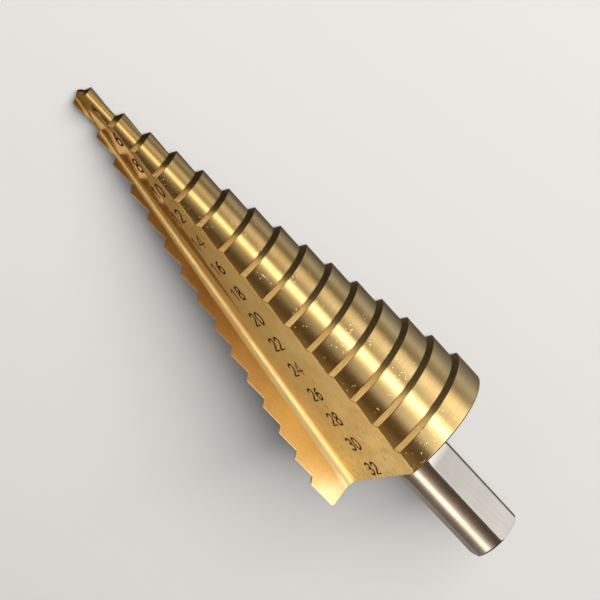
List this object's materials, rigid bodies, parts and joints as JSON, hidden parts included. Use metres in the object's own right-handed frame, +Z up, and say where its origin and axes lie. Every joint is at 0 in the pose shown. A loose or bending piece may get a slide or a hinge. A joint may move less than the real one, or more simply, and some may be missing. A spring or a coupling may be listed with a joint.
{
  "type": "step drill",
  "caption": "One-piece step drill with chamfered steps, two straight flutes, numbered steps and a round shank with three chuck flats.",
  "frame": {"origin": "bottom centre of the part's bounding box, on the bench that the drill lies on", "axes": "+X along the bench from the tip towards the shank, +Z up; the drill's axis rises towards the shank by about 8 degrees, because the drill lies on the two edges of a flute"},
  "size_m": [0.0996, 0.0318, 0.0239],
  "materials": {
    "coated_steel": "high-speed steel, ground, titanium nitride coated on the steps and flutes, bare on the shank"
  },
  "bodies": {
    "root": {"step_drill": "coated_steel"}
  },
  "joints": []
}
